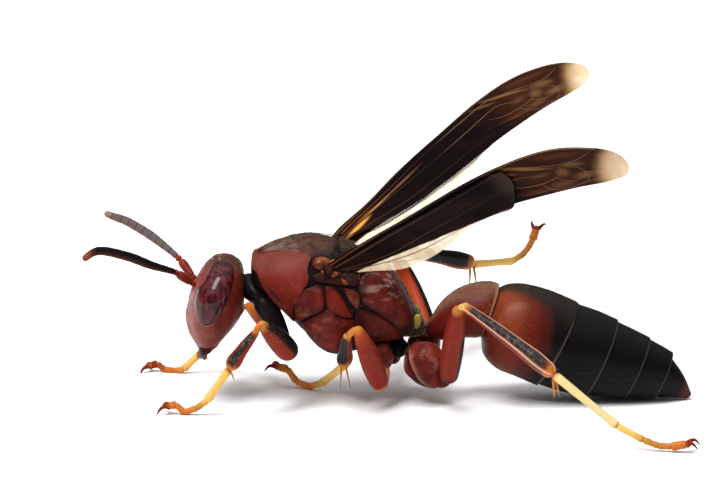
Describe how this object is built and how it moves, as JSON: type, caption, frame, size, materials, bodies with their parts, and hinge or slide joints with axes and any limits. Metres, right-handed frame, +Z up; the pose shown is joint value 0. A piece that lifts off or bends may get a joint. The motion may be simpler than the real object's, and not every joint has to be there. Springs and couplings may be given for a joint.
{
  "type": "dried paper wasp specimen",
  "caption": "Dried paper wasp standing as posed, wings folded lengthwise and raised in a V, one hind leg held clear of the ground.",
  "frame": {"origin": "centre of the bounding box at the ground under the feet", "axes": "-X is the way the head points, +X the tail, -Y the left side of the wasp, +Z up from the ground"},
  "size_m": [0.0238, 0.0232, 0.0121],
  "materials": {
    "head_red": "dark red chitin, satin, grey down on the crown",
    "eye_maroon": "polished maroon with fine dark streaks",
    "jaw_red": "dark red with black teeth",
    "scape_red": "red chitin, satin",
    "flagellum_black": "black velvety rings with an orange-brown tip",
    "neck_black": "black chitin",
    "thorax_red": "dark red pitted chitin with black seams",
    "scutum_grey": "dark chitin under golden-grey down",
    "tegula_amber": "translucent amber",
    "gaster_red": "dark red chitin with golden down, turning black to the rear",
    "gaster_black": "black satin chitin with thin brown rims",
    "forewing_brown": "smoky brown veined membrane with a pale tip",
    "hindwing_brown": "smoky brown with a clear cream lobe",
    "leg_red": "red chitin with black stripes and orange ends",
    "tarsus_yellow": "pale yellow to orange chitin"
  },
  "bodies": {
    "root": {"head_capsule": "head_red", "compound_eye_left": "eye_maroon", "compound_eye_right": "eye_maroon", "mandible_left": "jaw_red", "mandible_right": "jaw_red", "antenna_scape_left": "scape_red", "antenna_scape_right": "scape_red", "antenna_flagellum_left": "flagellum_black", "antenna_flagellum_right": "flagellum_black", "neck": "neck_black", "pronotum": "thorax_red", "mesoscutum": "scutum_grey", "scutellum": "scutum_grey", "mesopleuron": "thorax_red", "metathorax": "thorax_red", "propodeum": "thorax_red", "tegula_left": "tegula_amber", "tegula_right": "tegula_amber", "gaster_segment_1": "gaster_red", "gaster_segment_2": "gaster_red", "gaster_segment_3": "gaster_black", "gaster_segment_4": "gaster_black", "gaster_segment_5": "gaster_black", "gaster_segment_6": "gaster_black", "forewing_left": "forewing_brown", "forewing_right": "forewing_brown", "hindwing_left": "hindwing_brown", "hindwing_right": "hindwing_brown", "left_front_coxa": "leg_red", "left_front_femur": "leg_red", "left_front_tibia": "leg_red", "left_front_tarsus": "tarsus_yellow", "right_front_coxa": "leg_red", "right_front_femur": "leg_red", "right_front_tibia": "leg_red", "right_front_tarsus": "tarsus_yellow", "left_mid_coxa": "leg_red", "left_mid_femur": "leg_red", "left_mid_tibia": "leg_red", "left_mid_tarsus": "tarsus_yellow", "right_mid_coxa": "leg_red", "right_mid_femur": "leg_red", "right_mid_tibia": "leg_red", "right_mid_tarsus": "tarsus_yellow", "left_hind_coxa": "leg_red", "left_hind_femur": "leg_red", "left_hind_tibia": "leg_red", "left_hind_tarsus": "tarsus_yellow", "right_hind_coxa": "leg_red", "right_hind_femur": "leg_red", "right_hind_tibia": "leg_red", "right_hind_tarsus": "tarsus_yellow"}
  },
  "joints": []
}
